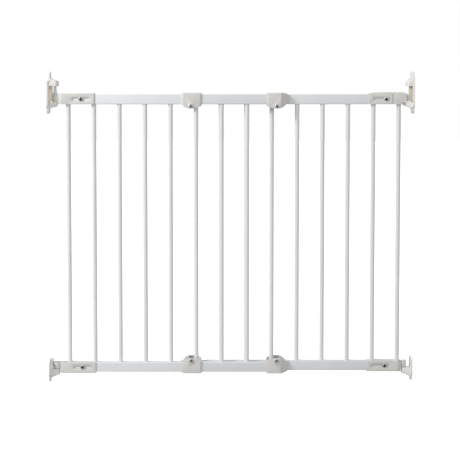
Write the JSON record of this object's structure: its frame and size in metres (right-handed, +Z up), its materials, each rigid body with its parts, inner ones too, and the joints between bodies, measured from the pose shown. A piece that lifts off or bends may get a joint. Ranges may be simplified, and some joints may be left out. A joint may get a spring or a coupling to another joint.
{
  "type": "safety baby gate",
  "caption": "Wall-mounted safety gate: overlapping barred steel panels slide to fit the opening, swing on lift-off pins at one side and latch at the other.",
  "frame": {"origin": "on the floor, midway between the two walls and between the front and rear panels", "axes": "+X across the opening from the hinge wall to the latch wall, +Y through the gate to the rear, +Z up"},
  "size_m": [0.91, 0.0564, 0.775],
  "materials": {
    "powder_coated_steel": "satin white powder coat",
    "white_plastic": "fine moulded texture, warm white",
    "beige_liner": "smooth beige",
    "nylon": "natural nylon",
    "zinc_plated_steel": "bright zinc plate"
  },
  "bodies": {
    "wall_brackets": {"hinge_bracket_top": "white_plastic", "hinge_bracket_bottom": "white_plastic", "hinge_bracket_liner": "beige_liner", "latch_bracket_top": "white_plastic", "latch_bracket_bottom": "white_plastic", "latch_bracket_liner": "beige_liner"},
    "hinge_bushes": {"hinge_bush_top": "nylon", "hinge_bush_bottom": "nylon"},
    "hinge_fittings": {"hinge_fitting_top": "white_plastic", "hinge_fitting_bottom": "white_plastic", "hinge_pin_top": "powder_coated_steel", "hinge_pin_bottom": "zinc_plated_steel"},
    "front_panel": {"front_top_rail": "powder_coated_steel", "front_bottom_rail": "powder_coated_steel", "front_bar_1": "powder_coated_steel", "front_bar_2": "powder_coated_steel", "front_bar_3": "powder_coated_steel", "front_bar_4": "powder_coated_steel", "front_bar_5": "powder_coated_steel", "front_bar_6": "powder_coated_steel", "front_bar_7": "powder_coated_steel", "front_bar_8": "powder_coated_steel", "front_clamp_top": "white_plastic", "front_clamp_bottom": "white_plastic", "front_clamp_screw_top": "zinc_plated_steel", "front_clamp_screw_bottom": "zinc_plated_steel", "front_clamp_nut_top": "zinc_plated_steel", "front_clamp_nut_bottom": "zinc_plated_steel", "hinge_adjuster_screw_top": "zinc_plated_steel", "hinge_adjuster_screw_bottom": "zinc_plated_steel"},
    "rear_panel": {"rear_top_rail": "powder_coated_steel", "rear_bottom_rail": "powder_coated_steel", "rear_bar_1": "powder_coated_steel", "rear_bar_2": "powder_coated_steel", "rear_bar_3": "powder_coated_steel", "rear_bar_4": "powder_coated_steel", "rear_bar_5": "powder_coated_steel", "rear_bar_6": "powder_coated_steel", "rear_bar_7": "powder_coated_steel", "rear_bar_8": "powder_coated_steel", "rear_clamp_top": "white_plastic", "rear_clamp_bottom": "white_plastic", "rear_clamp_screw_top": "zinc_plated_steel", "rear_clamp_screw_bottom": "zinc_plated_steel", "rear_clamp_nut_top": "zinc_plated_steel", "rear_clamp_nut_bottom": "zinc_plated_steel", "latch_adjuster_screw_top": "zinc_plated_steel", "latch_adjuster_screw_bottom": "zinc_plated_steel"},
    "latch_fittings": {"latch_fitting_top": "white_plastic", "latch_fitting_bottom": "white_plastic"},
    "latch_slider": {"latch_slider": "white_plastic"}
  },
  "joints": [
    {"name": "gate_swing", "type": "hinge", "parent": "wall_brackets", "child": "hinge_bushes", "pos_m": [-0.435, -0.00825, 0.372], "axis": [0, 0, 1], "range_deg": [-90, 75]},
    {"name": "gate_lift", "type": "slide", "parent": "hinge_bushes", "child": "hinge_fittings", "axis": [0, 0, 1], "range_m": [0, 0.01]},
    {"name": "hinge_adjust", "type": "slide", "parent": "hinge_fittings", "child": "front_panel", "axis": [1, 0, 0], "range_m": [0, 0.016]},
    {"name": "width_adjust", "type": "slide", "parent": "front_panel", "child": "rear_panel", "axis": [1, 0, 0], "range_m": [-0.04, 0]},
    {"name": "latch_adjust", "type": "slide", "parent": "rear_panel", "child": "latch_fittings", "axis": [1, 0, 0], "range_m": [0, 0.024]},
    {"name": "slider_pull", "type": "slide", "parent": "latch_fittings", "child": "latch_slider", "axis": [-1, 0, 0], "range_m": [0, 0.004], "stiffness_N_per_m": 400, "springref_m": -0.002}
  ],
  "couplings": [
    {"joint": "hinge_adjust", "follows": "width_adjust", "ratio": -0.4},
    {"joint": "latch_adjust", "follows": "width_adjust", "ratio": -0.6}
  ]
}
